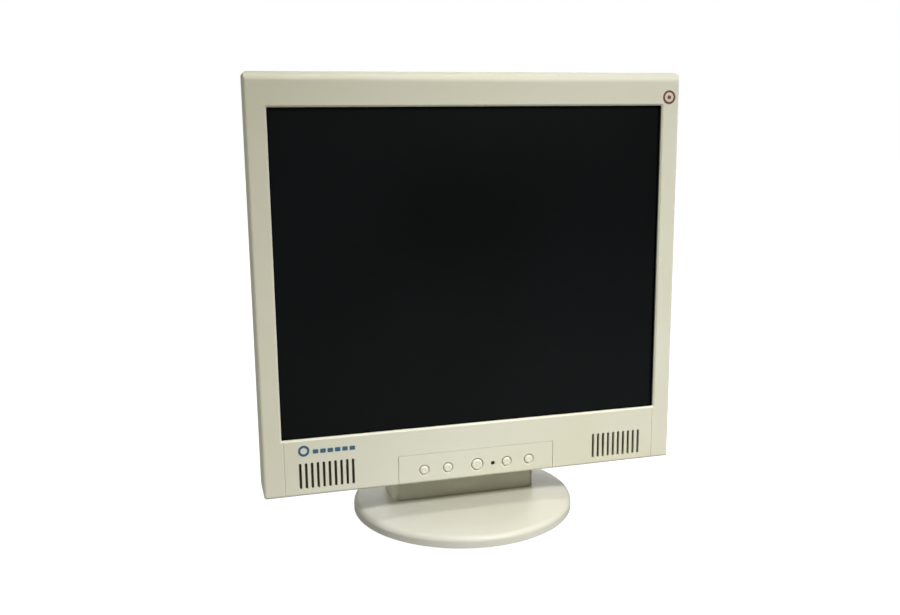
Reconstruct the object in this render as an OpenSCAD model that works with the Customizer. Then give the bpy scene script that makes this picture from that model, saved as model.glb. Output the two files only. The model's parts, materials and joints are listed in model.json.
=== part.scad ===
// 17 inch flat panel computer monitor on a round tilting stand.
// Millimetres. Origin at the centre of the round foot, on the desk.
// +X is the viewer's right, +Y points away from the viewer, +Z is up.

/* [Head] */
// Width of the head across the front bezel
head_w = 374; // [374:1:384]
// Height of the head
head_h = 351; // [345:1:360]
// Height of the head's lower edge above the desk
head_bottom = 45; // [42:1:50]
// Depth of the front bezel, from its face to the seam with the rear cover
bezel_depth = 18; // [17:0.5:18]
// Radius of the rounding along the front face's upper edge
top_round = 9; // [7:0.5:10]
// Radius of the rounding along its other three edges
edge_round = 2.5; // [1.5:0.5:3]
// Wall thickness of the plastic shells
wall = 2.5; // [2.2:0.1:2.6]

/* [Screen] */
// Width of the opening in the bezel
opening_w = 341; // [338:1:343]
// Height of the opening in the bezel
opening_h = 273; // [270:1:275]
// Height of the bezel under the opening
chin_h = 50; // [50:0.5:52]
// Width of the bevel round the opening
lip = 1.4; // [1:0.2:3]

/* [Controls] */
// Width of the removable button panel
panel_w = 143; // [140:1:146]
// Height of the button panel
panel_h = 26.5; // [25:0.5:28]
// Height of the button centres above the head's lower edge
button_up = 11.5; // [10:0.5:12]
// Radius of the four small buttons
button_r = 3.9; // [3.6:0.1:4.2]
// Radius of the power button
power_r = 4.9; // [4.6:0.1:5.2]
// How far a button travels when pressed
button_travel = 0.8; // [0.5:0.1:0.8]

/* [Speakers] */
// Slots in front of each speaker
slot_count = 10; // [6:1:11]
// Distance between slots
slot_pitch = 5; // [4.5:0.1:5.2]
// Width of one slot
slot_w = 2.2; // [1.5:0.1:2.6]
// Height of one slot
slot_h = 23; // [18:1:24]
// Distance of each speaker's centre from the middle of the head
speaker_x = 133.5; // [132:0.5:135]

/* [Stand] */
// Diameter of the round foot
foot_d = 204; // [202:1:220]
// Height of the foot's flat top above the desk
foot_h = 14; // [14:0.5:15]
// Height of the foot's rim above the desk
rim_h = 12; // [12:0.5:13]
// Rounding of the rim's upper edge
foot_round = 5; // [4:0.5:6]
// Width of the neck
neck_w = 136; // [130:1:136]
// Thickness of the neck at the hinge
neck_t = 24; // [24:1:26]
// Height of the tilt axis above the desk
axle_z = 92; // [90:1:94]
// Diameter of the hinge axle
axle_d = 8; // [7:0.5:8]

/* [Hidden] */
$fn = 48;

// Head, front to back
front_y = -50;
seam_y = front_y + bezel_depth;      // bezel meets rear cover
side_end_y = -14;                    // straight side walls end here
brim_y = -8;                         // rear face of the brim round the bulge
head_back_y = 14;                    // rear face of the bulge
head_top = head_bottom + head_h;
screen_z = head_bottom + chin_h + opening_h / 2;
corner_r = 3;
seam_groove = 0.5;
lip_depth = 1.2;

// Rear cover
bulge_w = 310;
bulge_low = 125;
bulge_high = 352;
bulge_taper = 16;
bay_w = 300;                         // recess under the bulge, for plugs and neck
bay_floor_y = -24;
brim_taper = 6;
cover_wall = 2.2;

// Hinge
axle_y = 2;
axle_r = axle_d / 2;
neck_r = neck_t / 2;
ear_gap = 3;                         // neck to ear, each side
ear_in = neck_w / 2 + ear_gap;
ear_out = ear_in + 17;
ear_r = neck_r;
axle_end = 82;
run_clear = 0.05;

// Panel module, front to back
glass_w = 349;
glass_h = 282;
module_w = 358.5;
module_h = 296.5;
module_y = -46;
module_t = 15;
chassis_y = -29;
chassis_t = 1;

// Boards
main_x = [58, 138];
main_z = [129, 215];
power_x = [-134, -54];
power_z = [152, 330];
board_y = -26;
board_t = 1.6;
board_holes = [for (b = [[main_x, main_z], [power_x, power_z]], i = [0, 1], k = [0, 1])
  [b[0][i] + (i == 0 ? 5 : -5), b[1][k] + (k == 0 ? 22 : -5)]];
video_x = 104;
audio_x = 129;
inlet_x = -110;
inlet_y = -10;
vesa = 100;
post_r = 4;
thread_r = 2;

// Controls, from the middle of the head
button_x = [-48.5, -27, 0, 27.5, 48.5];
led_x = 14.5;
led_r = 1.7;
button_z = head_bottom + button_up;
panel_gap = 0.3;
button_gap = 0.4;                    // round each cap
collar = 1;                          // width and depth of the sloping ring round each cap
switch_y = -33.6;                    // face of the button board
board_low = 48.6;

// Speakers
speaker_w = 56;
speaker_h = 28;
speaker_z = head_bottom + 17.5;
cloth_t = 0.6;
speaker_y = front_y + wall + cloth_t;

// Screws that hold the rear cover: [x, z, y of the cover's face there]
cover_screws = [[-120, 384, brim_y], [120, 384, brim_y], [-92, 64, bay_floor_y], [92, 64, bay_floor_y]];

// ---------- shared shapes ----------

// Flat rectangle with true round corners, centred on X and starting at Y = 0
module rounded_rect(w, h, r) {
  union() {
    translate([-w / 2 + r, 0]) square([w - 2 * r, h]);
    translate([-w / 2, r]) square([w, h - 2 * r]);
    for (x = [-w / 2 + r, w / 2 - r], y = [r, h - r]) translate([x, y]) circle(r);
  }
}

// Upright slab facing the viewer, from y0 back to y1, its lower edge at z0
module slab(w, h, r, y0, y1, z0) {
  translate([0, y1, z0]) rotate([90, 0, 0]) linear_extrude(y1 - y0) rounded_rect(w, h, r);
}

// Upright plain plate between two corners of the XZ plane
module plate(x0, x1, z0, z1, y0, y1) {
  translate([x0, y0, z0]) cube([x1 - x0, y1 - y0, z1 - z0]);
}

// Cylinder along Y
module rod_y(r, y0, y1, x, z) {
  translate([x, y1, z]) rotate([90, 0, 0]) cylinder(r = r, h = y1 - y0);
}

// Cylinder along X
module rod_x(r, x0, x1, y, z) {
  translate([x0, y, z]) rotate([0, 90, 0]) cylinder(r = r, h = x1 - x0);
}

// Solid with a flat-sided outline seen from above and another seen from the side:
// plan is a list of [x, y] and side a list of [y, z]
module two_way(plan, side) intersection() {
  linear_extrude(500) polygon(plan);
  translate([-250, 0, 0]) rotate([90, 0, 90]) linear_extrude(500) polygon(side);
}

// Cable of radius r along a list of points, with eight sides
function unit(v) = v / norm(v);
function way(p, i) = unit(p[min(i + 1, len(p) - 1)] - p[max(i - 1, 0)]);
function aside(d) = unit(cross(d, abs(d[2]) > 0.9 ? [1, 0, 0] : [0, 0, 1]));
function ring(p, i, r, n) = let (d = way(p, i), u = aside(d), v = cross(d, u))
  [for (k = [0 : n - 1]) p[i] + r * (cos(360 * k / n) * u + sin(360 * k / n) * v)];

module cable(p, r, n = 8) {
  m = len(p);
  points = [for (i = [0 : m - 1]) each ring(p, i, r, n)];
  sides = [for (i = [0 : m - 2], k = [0 : n - 1])
    [i * n + k, (i + 1) * n + k, (i + 1) * n + (k + 1) % n, i * n + (k + 1) % n]];
  polyhedron(points, concat([[for (k = [0 : n - 1]) k]], sides,
    [[for (k = [n - 1 : -1 : 0]) (m - 1) * n + k]]));
}

// Machine screw along Y: its head is at y_head, its tip at y_tip
module screw_y(x, z, y_head, y_tip, r, head_r, head_t) {
  union() {
    rod_y(head_r, y_head, y_head + head_t, x, z);
    rod_y(r, y_tip, y_head, x, z);
  }
}

// ---------- front of the head ----------

// Side view of the bezel, [y, z], every face moved in by i: rounded over at the top and the bottom
module bezel_side(i) {
  top = top_round - i;
  bottom = max(edge_round - i, 0.3);
  front = front_y + i;
  low = head_bottom + i;
  high = head_top - i;
  back = seam_y + (i > 0 ? 1 : 0);
  union() {
    translate([front + top, low]) square([back - front - top, high - low]);
    translate([front, low + bottom]) square([top, high - low - bottom - top]);
    translate([front + bottom, low]) square([top - bottom, bottom]);
    translate([front + bottom, low + bottom]) circle(bottom);
    translate([front + top, high - top]) circle(top);
  }
}

// The bezel seen from above, [x, y], rounded over at both sides
module bezel_plan(i) {
  r = max(edge_round - i, 0.3);
  w = head_w / 2 - i;
  front = front_y + i;
  back = seam_y + (i > 0 ? 1 : 0);
  union() {
    translate([-w, front + r]) square([2 * w, back - front - r]);
    translate([-w + r, front]) square([2 * w - 2 * r, r]);
    for (x = [-w + r, w - r]) translate([x, front + r]) circle(r);
  }
}

// Solid block of the bezel, every face moved in by i
module bezel_block(i) intersection() {
  slab(head_w - 2 * i, head_h - 2 * i, max(corner_r - i, 0.5), front_y + i, seam_y + (i > 0 ? 1 : 0),
    head_bottom + i);
  translate([-head_w / 2, 0, 0]) rotate([90, 0, 90]) linear_extrude(head_w) bezel_side(i);
  translate([0, 0, head_bottom]) linear_extrude(head_h) bezel_plan(i);
}

module speaker_slots(side) {
  r = slot_w / 2;
  low = speaker_z - slot_h / 2;
  first = side * speaker_x - slot_pitch * (slot_count - 1) / 2;
  for (i = [0 : slot_count - 1]) translate([first + i * slot_pitch, front_y + wall + 1, 0])
    rotate([90, 0, 0]) linear_extrude(wall + 2) union() {
      translate([-r, low + r]) square([slot_w, slot_h - slot_w]);
      for (z = [low + r, low + slot_h - r]) translate([0, z]) circle(r);
    }
}

module screw_boss(s) {
  rod_y(3.4, front_y + wall - 0.5, s[2] - cover_wall, s[0], s[1]);
}

// Bevelled opening, wider at the face than behind it
module screen_cut() {
  w = opening_w / 2;
  h = opening_h / 2;
  y0 = front_y - 1;
  y1 = front_y + lip_depth;
  grow = lip * (lip_depth + 1) / lip_depth;
  two_way([[-w - grow, y0], [w + grow, y0], [w, y1], [-w, y1]],
    [[y0, screen_z - h - grow], [y1, screen_z - h], [y1, screen_z + h], [y0, screen_z + h + grow]]);
  slab(opening_w, opening_h, 1, front_y - 1, front_y + wall + 1, screen_z - h);
}

module front_bezel() color("ivory") difference() {
  union() {
    difference() {
      bezel_block(0);
      bezel_block(wall);
    }
    for (s = cover_screws) screw_boss(s);
  }
  screen_cut();
  for (side = [-1, 1]) speaker_slots(side);
  plate(-panel_w / 2, panel_w / 2, head_bottom - 1, head_bottom + panel_h, front_y - 1, seam_y + 1);
  for (x = [-1, 1] * (opening_w / 2 - 1))
    plate(x - seam_groove, x + seam_groove, head_bottom - 1, head_bottom + chin_h - lip,
      front_y - 1, front_y + seam_groove);
  for (s = cover_screws) rod_y(1.5, s[2] - 16, s[2], s[0], s[1]);
}

// Hole for a button, with a sloping ring sunk into the panel's face
module button_hole(x, r) union() {
  rod_y(r, front_y - 1, front_y + wall + 1, x, button_z);
  translate([x, front_y - collar, button_z]) rotate([-90, 0, 0])
    cylinder(r1 = r + 2 * collar, r2 = r, h = 2 * collar);
}

module button_panel() color("ivory") {
  w = panel_w - 2 * panel_gap;
  top = head_bottom + panel_h - panel_gap;
  difference() {
    intersection() {
      bezel_block(0);
      plate(-w / 2, w / 2, head_bottom, top, front_y, seam_y);
    }
    plate(-w / 2 + wall, w / 2 - wall, head_bottom + wall, top + 1, front_y + wall, seam_y + 1);
    plate(-w / 2 - 1, w / 2 + 1, head_bottom + wall, top + 1, front_y + wall + 4, seam_y + 1);
    for (i = [0 : 4]) button_hole(button_x[i], (i == 2 ? power_r : button_r) + button_gap);
    rod_y(led_r + 0.1, front_y - 1, front_y + wall + 1, led_x, button_z);
  }
}

// Push button: cap, retaining flange behind the panel, and the stem that meets its switch
module push_button(x, r) {
  flange_y = front_y + wall + 0.1;
  union() {
    rod_y(r, front_y + 0.2, flange_y + 1, x, button_z);
    translate([x, front_y + 0.2, button_z]) rotate([90, 0, 0]) cylinder(r1 = r, r2 = r - 1.4, h = 0.8);
    rod_y(r + 1.2, flange_y, flange_y + 1, x, button_z);
    rod_y(1.5, flange_y, switch_y - 4 - button_travel - 0.05, x, button_z);
  }
}

module menu_button() color("whitesmoke") push_button(button_x[0], button_r);
module select_button() color("whitesmoke") push_button(button_x[1], button_r);
module power_button() color("whitesmoke") push_button(button_x[2], power_r);
module down_button() color("whitesmoke") push_button(button_x[3], button_r);
module up_button() color("whitesmoke") push_button(button_x[4], button_r);

module power_led() color("dimgray") union() {
  rod_y(led_r, front_y, front_y + 8, led_x, button_z);
  rod_y(led_r + 0.8, front_y + wall + 0.2, switch_y, led_x, button_z);
}

module button_board() color("darkgreen") difference() {
  plate(-64, 64, board_low, board_low + 16, switch_y, switch_y + board_t);
  for (x = [-60, 60]) rod_y(1.5, switch_y - 1, switch_y + board_t + 1, x, board_low + 12);
}

module button_switches() color("black") for (x = button_x) union() {
  plate(x - 3, x + 3, button_z - 3, button_z + 3, switch_y - 3.4, switch_y);
  rod_y(1.7, switch_y - 4, switch_y - 3.3, x, button_z);
}

// ---------- speakers ----------

module grille_cloths() color("dimgray") for (s = [-1, 1]) translate([s * speaker_x, 0, 0])
  slab(speaker_w, speaker_h, 3, front_y + wall, speaker_y, speaker_z - speaker_h / 2);

module speaker_frame(side) translate([side * speaker_x, 0, 0]) difference() {
  union() {
    slab(speaker_w, speaker_h, 3, speaker_y, speaker_y + 2, speaker_z - speaker_h / 2);
    slab(speaker_w - 8, speaker_h - 4, 3, speaker_y + 1, speaker_y + 10,
      speaker_z - speaker_h / 2 + 2);
  }
  slab(speaker_w - 11, speaker_h - 7, 2, speaker_y - 1, speaker_y + 9,
    speaker_z - speaker_h / 2 + 3.5);
  rod_y(8, speaker_y, speaker_y + 11, 0, speaker_z);
}

module speaker_cone(side) translate([side * speaker_x, 0, 0]) difference() {
  union() {
    slab(speaker_w - 11.4, speaker_h - 7.4, 2, speaker_y + 1, speaker_y + 2,
      speaker_z - speaker_h / 2 + 3.7);
    translate([0, speaker_y + 2, speaker_z]) rotate([-90, 0, 0]) cylinder(r1 = 9.5, r2 = 5, h = 5);
  }
  translate([0, speaker_y + 0.9, speaker_z]) rotate([-90, 0, 0]) cylinder(r1 = 8.8, r2 = 4.2, h = 5);
}

module speaker_magnets() color("silver") for (s = [-1, 1])
  rod_y(11, speaker_y + 10, speaker_y + 16, s * speaker_x, speaker_z);

// ---------- panel module ----------

// Slab centred on the screen
module screen_slab(w, h, r, y0, y1) slab(w, h, r, y0, y1, screen_z - h / 2);

glass_y = module_y + 0.5;
glass_t = 1.8;
sheet_t = 0.8;
guide_t = 8;
guide_y = glass_y + glass_t + 0.1 + sheet_t + 0.1;

module lcd_glass() color([0.03, 0.03, 0.04]) screen_slab(glass_w, glass_h, 0.5, glass_y, glass_y + glass_t);

module lcd_front_frame() color("gray") difference() {
  screen_slab(module_w, module_h, 2, module_y, module_y + module_t);
  screen_slab(module_w - 1, module_h - 1, 1.5, glass_y, module_y + module_t + 1);
  screen_slab(opening_w + 1, opening_h + 1, 1, module_y - 1, glass_y + 1);
}

module optical_sheets() color("white")
  screen_slab(glass_w - 2, glass_h - 2, 1, glass_y + glass_t + 0.1, glass_y + glass_t + 0.1 + sheet_t);

module light_guide() color([0.9, 0.95, 0.95]) difference() {
  screen_slab(glass_w - 3, glass_h - 16, 0.5, guide_y, guide_y + guide_t);
  for (x = [-1, 1] * (glass_w / 2 - 1), z = [-60, 60])
    translate([x, guide_y - 1, screen_z + z]) rotate([-90, 0, 0]) cylinder(r = 4, h = guide_t + 2);
}

lamp_z = (glass_h - 16) / 2 + 3.6;
lamp_len = glass_w - 12;

module backlight_lamps() color("white") for (s = [-1, 1], y = [2, 6])
  rod_x(1.3, -lamp_len / 2, lamp_len / 2, guide_y + y, screen_z + s * lamp_z);

// Bright U channel round each pair of lamps
module lamp_reflectors() color("silver") for (s = [-1, 1]) difference() {
  translate([-glass_w / 2 + 3, guide_y, screen_z + s * lamp_z - 3.4]) cube([glass_w - 6, guide_t, 6.8]);
  translate([-glass_w / 2 + 2, guide_y + 0.3, screen_z + s * (lamp_z - 0.5) - 3.4])
    cube([glass_w - 4, guide_t - 0.6, 6.8]);
}

module lcd_rear_tray() color("silver") difference() {
  screen_slab(module_w - 1.2, module_h - 1.2, 1.4, guide_y + 2, module_y + module_t);
  screen_slab(module_w - 5, module_h - 5, 1, guide_y + 1, module_y + module_t - 1.2);
}

module panel_driver_board() color("darkgreen") union() {
  plate(-60, 60, 305, 345, module_y + module_t, module_y + module_t + 1.2);
  plate(-10, 10, 307, 311, module_y + module_t, chassis_y - 0.1);
}

// ---------- chassis, boards and connectors ----------

chassis_in = module_w / 2 + 0.2;
chassis_low = 88;
chassis_high = 366;

module chassis_plate() color("silver") difference() {
  back = chassis_y + chassis_t;
  union() {
    plate(-chassis_in - 1, chassis_in + 1, chassis_low, chassis_high, chassis_y, back);
    for (x = [-chassis_in - 1, chassis_in]) plate(x, x + 1, chassis_low, chassis_high, module_y + 3, back);
    for (p = board_holes) rod_y(3, chassis_y, board_y, p[0], p[1]);
  }
  plate(-50, 62, 303, 347, chassis_y - 1, back + 1);
  for (s = [-1, 1]) translate([s * 110, 0, 0]) slab(70, 20, 4, chassis_y - 1, back + 1, 341);
  for (s = [-1, 1], z = [130, 330]) rod_x(1.6, s * chassis_in - 2, s * chassis_in + 2, -38, z);
  for (s = [-1, 1], z = [110, 118]) rod_y(1.5, chassis_y - 1, back + 1, s * 80.3, z);
  for (p = board_holes) rod_y(1.5, chassis_y - 1, board_y + 1, p[0], p[1]);
}

// Screws that hold the panel module by its sides
module chassis_screws() color("silver") for (s = [-1, 1], z = [130, 330])
  translate([s * (module_w / 2 + 0.05), -38, z]) rotate([0, s * 90, 0]) union() {
    cylinder(r = 1.45, h = 2);
    translate([0, 0, 1.15]) cylinder(r = 2.8, h = 1.6);
  }

bay_top = bulge_low;                 // ceiling of the plug bay, where the connectors face down

module board(x, z) difference() {
  plate(x[0], x[1], z[0], z[1], board_y, board_y + board_t);
  for (p = board_holes) rod_y(1.7, board_y - 1, board_y + board_t + 1, p[0], p[1]);
}

module main_board() color("darkgreen") board(main_x, main_z);

module main_board_parts() color("black") {
  y = board_y + board_t;
  plate(88, 116, 158, 186, y, y + 3);
  plate(120, 130, 166, 184, y, y + 2.5);
  plate(72, 84, 194, 202, y, y + 2.5);
  for (p = [[77, 170], [77, 182], [126, 196]]) rod_y(4, y, y + 10, p[0], p[1]);
  plate(94, 120, 206, 211, y, y + 6);
  plate(72, 82, 206, 211, y, y + 6);
}

// Fifteen pin video socket: flange in the bay's ceiling, shell facing down
module video_connector() color("royalblue") {
  y = -16;
  union() {
    difference() {
      union() {
        plate(video_x - 15.5, video_x + 15.5, bay_top + 2.3, bay_top + 14, board_y + board_t, y + 6);
        plate(video_x - 15.5, video_x + 15.5, bay_top + 1, bay_top + 3, y - 6, y + 6);
      }
      for (s = [-1, 1]) translate([video_x + s * 12.5, y, bay_top]) cylinder(r = 1.4, h = 10);
    }
    difference() {
      video_shell(y, bay_top - 4, 0);
      video_shell(y, bay_top - 5, 0.6);
    }
    video_shell(y, bay_top - 2.8, 1.6);
  }
}

module video_shell(y, z, inset) {
  w = 8.9 - inset;
  h = 4.5 - inset;
  translate([video_x, y, z]) linear_extrude(8) polygon([[-w, -h], [w, -h], [w - 1.2, h], [-w + 1.2, h]]);
}

module audio_jack() color("limegreen") difference() {
  union() {
    translate([audio_x, -18, bay_top - 1]) cylinder(r = 4, h = 4);
    plate(audio_x - 6, audio_x + 6, bay_top + cover_wall, bay_top + 15, board_y + board_t, -12);
  }
  translate([audio_x, -18, bay_top - 2]) cylinder(r = 1.8, h = 15);
}

module power_board() color("darkgoldenrod") board(power_x, power_z);

module power_board_parts() color("gold") {
  y = board_y + board_t;
  plate(-122, -90, 214, 242, y, y + 24);
  rod_y(11, y, y + 26, -74, 192);
  for (z = [240, 256]) rod_y(5, y, y + 20, -70, z);
  plate(-133, -130, 200, 250, y, y + 22);
  for (x = [-126, -96]) plate(x, x + 22, 290, 306, y, y + 14);
  plate(-124, -100, 176, 194, y, y + 14);
  plate(-124, -112, 321, 329, y, y + 6);
}

module board_screws() color("silver") for (p = board_holes)
  screw_y(p[0], p[1], board_y + board_t, chassis_y - 0.2, 1.45, 2.5, 1.4);

// Three pin mains inlet: body above the bay's ceiling, mouth facing down
module mains_inlet() color("black") {
  top = bay_top + 21;
  union() {
    difference() {
      union() {
        plate(inlet_x - 13.5, inlet_x + 13.5, bay_top, top, inlet_y - 10, inlet_y + 10);
        plate(inlet_x - 16, inlet_x + 16, bay_top + cover_wall, bay_top + cover_wall + 2,
          inlet_y - 11, inlet_y + 11);
      }
      plate(inlet_x - 12, inlet_x + 12, bay_top - 1, bay_top + 16, inlet_y - 8, inlet_y + 8);
    }
    for (p = [[-7, -1.5], [0, 2.5], [7, -1.5]])
      translate([inlet_x + p[0] - 1, inlet_y + p[1] - 2, bay_top + 5]) cube([2, 4, 12]);
  }
}

shield_x = 141;
shield_z = [bulge_low + 17, 338];
shield_back = 5;

// Folded steel cover over both boards, with vents in line with those of the rear cover
module board_shield() color("silver") difference() {
  plate(-shield_x, shield_x, shield_z[0], shield_z[1], chassis_y + chassis_t, shield_back);
  plate(-shield_x + 1, shield_x - 1, shield_z[0] - 1, shield_z[1] - 1,
    chassis_y + chassis_t - 1, shield_back - 1);
  for (x = [-50, 50], z = [-50, 50]) rod_y(post_r + 0.2, 0, 10, x, screen_z + z);
  for (i = [0 : 8], s = [-1, 1])
    translate([s * 105, 0, 0]) slab(50, 4, 1.9, 0, 10, 190 + i * 12);
  plate(-126, -114, shield_z[1] - 2, shield_z[1] + 1, -27, -16);
}

// Steel posts with M4 threads, on a 100 mm square
module wall_mount_posts() color("silver") for (x = [-50, 50], z = [-50, 50]) difference() {
  rod_y(post_r, chassis_y + chassis_t, head_back_y, x, screen_z + z);
  rod_y(thread_r, head_back_y - 12, head_back_y + 1, x, screen_z + z);
}

// ---------- rear cover ----------

// Quarter of an ellipse that rounds the bulge off towards its back
function bulge_curve(i) = [for (k = [0 : 6]) let (a = 15 * k)
  [brim_y - i + (head_back_y - brim_y) * sin(a), bulge_taper * (1 - cos(a))]];

// Half outline of a part of the head, from its middle line out and back: [across, y]
function mirrored(p) = concat(p, [for (k = [len(p) - 1 : -1 : 0]) [-p[k][0], p[k][1]]]);

// Front block of the rear cover, with sloping shoulders, every face moved in by i
module shoulder_form(i) {
  w = head_w / 2 - i;
  low = head_bottom + i;
  high = head_top - i;
  front = seam_y - (i > 0 ? 1 : 0);
  t = brim_taper;
  intersection() {
    two_way(mirrored([[w, front], [w, side_end_y], [w - t, brim_y - i]]),
      [[front, low], [side_end_y, low], [brim_y - i, low + t],
        [brim_y - i, high - t], [side_end_y, high], [front, high]]);
    slab(2 * w, high - low, corner_r, front - 1, 0, low);
  }
}

// Bulge that covers the boards
module bulge_form(i) {
  low = bulge_low + i;
  across = [for (p = bulge_curve(i)) [bulge_w / 2 - i - p[1], p[0]]];
  up = [for (p = bulge_curve(i)) [p[0], bulge_high - i - p[1]]];
  start = brim_y - i - 6;
  two_way(mirrored(concat([[bulge_w / 2 - i, start]], across)),
    concat([[start, low], [start, bulge_high - i]], up, [[head_back_y - i, low]]));
}

module cover_form(i) union() {
  difference() {
    union() {
      shoulder_form(i);
      bulge_form(i);
    }
    plate(-bay_w / 2 - i, bay_w / 2 + i, head_bottom - 1, bulge_low + i,
      bay_floor_y - i, head_back_y + 10);
  }
  ear_form(-1, i);
  ear_form(1, i);
}

// Tongue that hangs under the bulge at each side of the neck and holds a hinge bracket
module ear_form(side, i) {
  x0 = side > 0 ? ear_in + i : -ear_out + i;
  length = ear_out - ear_in - 2 * i;
  r = ear_r - i;
  union() {
    translate([x0, axle_y - r, axle_z]) cube([length, 2 * r, bulge_low - axle_z + 3 * i]);
    rod_x(r, x0, x0 + length, axle_y, axle_z);
    translate([x0, bay_floor_y - i, axle_z - 10 + i])
      cube([length, axle_y - bay_floor_y + i, bulge_low - axle_z + 10]);
  }
}

vent_pitch = 6;
vent_h = 2.5;

module cover_vents() {
  for (i = [0 : 3], x = [-62, 62])
    plate(x - 34, x + 34, 302 + i * vent_pitch, 302 + i * vent_pitch + vent_h, 0, 20);
  for (i = [0 : 13], x = [-104, 104])
    plate(x - 16, x + 16, 170 + i * vent_pitch, 170 + i * vent_pitch + vent_h, 0, 20);
}

module rear_cover() color("ivory") difference() {
  cover_form(0);
  cover_form(cover_wall);
  for (x = [-ear_in - 4, ear_in - 1]) rod_x(axle_r + 0.3, x, x + 5, axle_y, axle_z);
  for (x = [-50, 50], z = [-50, 50]) rod_y(post_r + 0.2, 0, head_back_y + 1, x, screen_z + z);
  cover_vents();
  for (s = cover_screws) rod_y(1.8, s[2] - 10, s[2] + 2, s[0], s[1]);
  for (s = cover_screws) rod_y(3.6, s[2] - 1, s[2] + 20, s[0], s[1]);
  plate(video_x - 16, video_x + 16, bay_top - 1, bay_top + cover_wall + 1, -22.5, -9.5);
  translate([audio_x, -18, bay_top - 1]) cylinder(r = 4.2, h = 6);
  plate(inlet_x - 13.8, inlet_x + 13.8, bay_top - 1, bay_top + cover_wall + 1,
    inlet_y - 10.3, inlet_y + 10.3);
}

module rear_cover_screws() color("silver") for (s = cover_screws)
  screw_y(s[0], s[1], s[2] - 1, s[2] - 14, 1.45, 3, 1.6);

module rating_label() color("white") plate(-35, 35, 150, 172, head_back_y, head_back_y + 0.2);

module round_label() color("brown") rod_y(6.2, front_y - 0.2, front_y, head_w / 2 - 10, head_top - 21);

// Plain blue mark: a ring and a bar
module front_badge() color("steelblue") {
  difference() {
    rod_y(4.8, front_y - 0.2, front_y, -152.5, head_bottom + 40);
    rod_y(2.8, front_y - 1, front_y + 1, -152.5, head_bottom + 40);
  }
  plate(-145, -109, head_bottom + 37, head_bottom + 40.6, front_y - 0.2, front_y);
}

// ---------- inner cables ----------

// Flat ribbon from the driver board to the main board
module panel_ribbon() color("lightgray") {
  y = board_y + board_t + 6;
  union() {
    plate(-8, 8, 308, 309, chassis_y - 0.1, y + 1);
    plate(-8, 8, 250, 309, y, y + 1);
    plate(-8, 116, 250, 262, y, y + 1);
    plate(98, 116, 207, 262, y, y + 1);
  }
}

// Flat ribbon from the button board up behind the chassis to the main board
module button_ribbon() color("lightgray") {
  y = chassis_y + chassis_t + 0.4;
  union() {
    plate(40, 52, 62, 62.7, switch_y + board_t, y + 0.7);
    plate(40, 52, 62, 168, y, y + 0.7);
    plate(40, 70, 158, 168, y, y + 0.7);
    plate(66, 70, 158, 168, y, board_y);
  }
}

lead_y = chassis_y + chassis_t + 0.9;

module speaker_leads() color("firebrick") {
  cable([[-112, -35.8, 60], [-104, -33, 66], [-99, -30.5, 74], [-88, -30.5, 79.5], [0, -30.5, 79.5],
    [60, -30.5, 79.5], [66, -29, 81.5], [66, lead_y, 85], [66, lead_y, 140]], 0.8);
  cable([[112, -35.8, 60], [104, -33, 66], [99, -30.5, 74], [93, -30, 79], [92, -29, 81.5], [92, lead_y, 85],
    [92, lead_y, 140]], 0.8);
}

// Leads from the lamps' ends, round the side of the module, to the power board
module lamp_leads() color("pink") {
  cable([[-180.3, -38, 371], [-182, -33, 371], [-176, -25, 370], [-150, -24, 362], [-128, -22, 348],
    [-118, -21.4, 342], [-118, -21.4, 329.1]], 1.1);
  cable([[-180.3, -38, 85], [-182, -33, 85], [-176, -25, 87], [-158, -24, 96], [-149, -24, 120],
    [-147, -24, 320], [-142, -24, 340], [-132, -23, 345], [-124, -21.4, 342], [-122, -21.4, 336],
    [-122, -21.4, 329.1]], 1.1);
}

// ---------- hinge ----------

// Steel angle: a foot on the chassis and a cheek round the axle
module hinge_bracket(side) {
  x0 = side > 0 ? 74 : -77;
  f0 = side > 0 ? 74 : -83;
  y0 = chassis_y + chassis_t;
  difference() {
    union() {
      translate([f0, y0, 100]) cube([9, 1.6, 26]);
      translate([x0, y0, axle_z - 7]) cube([3, axle_y - y0, 32]);
      rod_x(9, x0, x0 + 3, axle_y, axle_z);
    }
    rod_x(axle_r + run_clear, x0 - 1, x0 + 4, axle_y, axle_z);
    translate([x0 - 1, axle_y - 9, axle_z + 9]) cube([5, 20, 30]);
    for (z = [110, 118]) rod_y(1.6, y0 - 1, y0 + 3, side * 80.3, z);
  }
}

module hinge_bracket_left() color("silver") hinge_bracket(-1);
module hinge_bracket_right() color("silver") hinge_bracket(1);

module hinge_bracket_screws() color("silver") for (s = [-1, 1], z = [110, 118])
  screw_y(s * 80.3, z, chassis_y + chassis_t + 1.6, chassis_y - 0.3, 1.45, 2.4, 1.4);

module hinge_axle() color("silver") rod_x(axle_r, -axle_end, axle_end, axle_y, axle_z);

module hinge_ring(x0, x1, r, side) difference() {
  rod_x(r, min(side * x0, side * x1), max(side * x0, side * x1), axle_y, axle_z);
  rod_x(axle_r + 0.02, min(side * x0, side * x1) - 1, max(side * x0, side * x1) + 1, axle_y, axle_z);
}

module hinge_bushes() color("dimgray") for (s = [-1, 1]) hinge_ring(neck_w / 2 + 0.1, ear_in - 0.1, 6.5, s);
module friction_washers() color("goldenrod") for (s = [-1, 1]) hinge_ring(77.1, 78.4, 8, s);

module hinge_nuts() color("silver") for (s = [-1, 1]) difference() {
  translate([s * 80.1, axle_y, axle_z]) rotate([0, 90, 0]) cylinder(r = 7, h = 3.2, center = true, $fn = 6);
  rod_x(axle_r + 0.02, s * 80 - 3, s * 80 + 3, axle_y, axle_z);
}

// ---------- neck ----------

neck_back_low = 30;                  // rear face at the foot
neck_wall = 2.2;
weight_t = 5;
core_z = 4 + weight_t;               // the folded bracket stands on the weight
core_t = 18;                         // depth of the bracket, centred under the axle
core_y = axle_y - core_t / 2;

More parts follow.
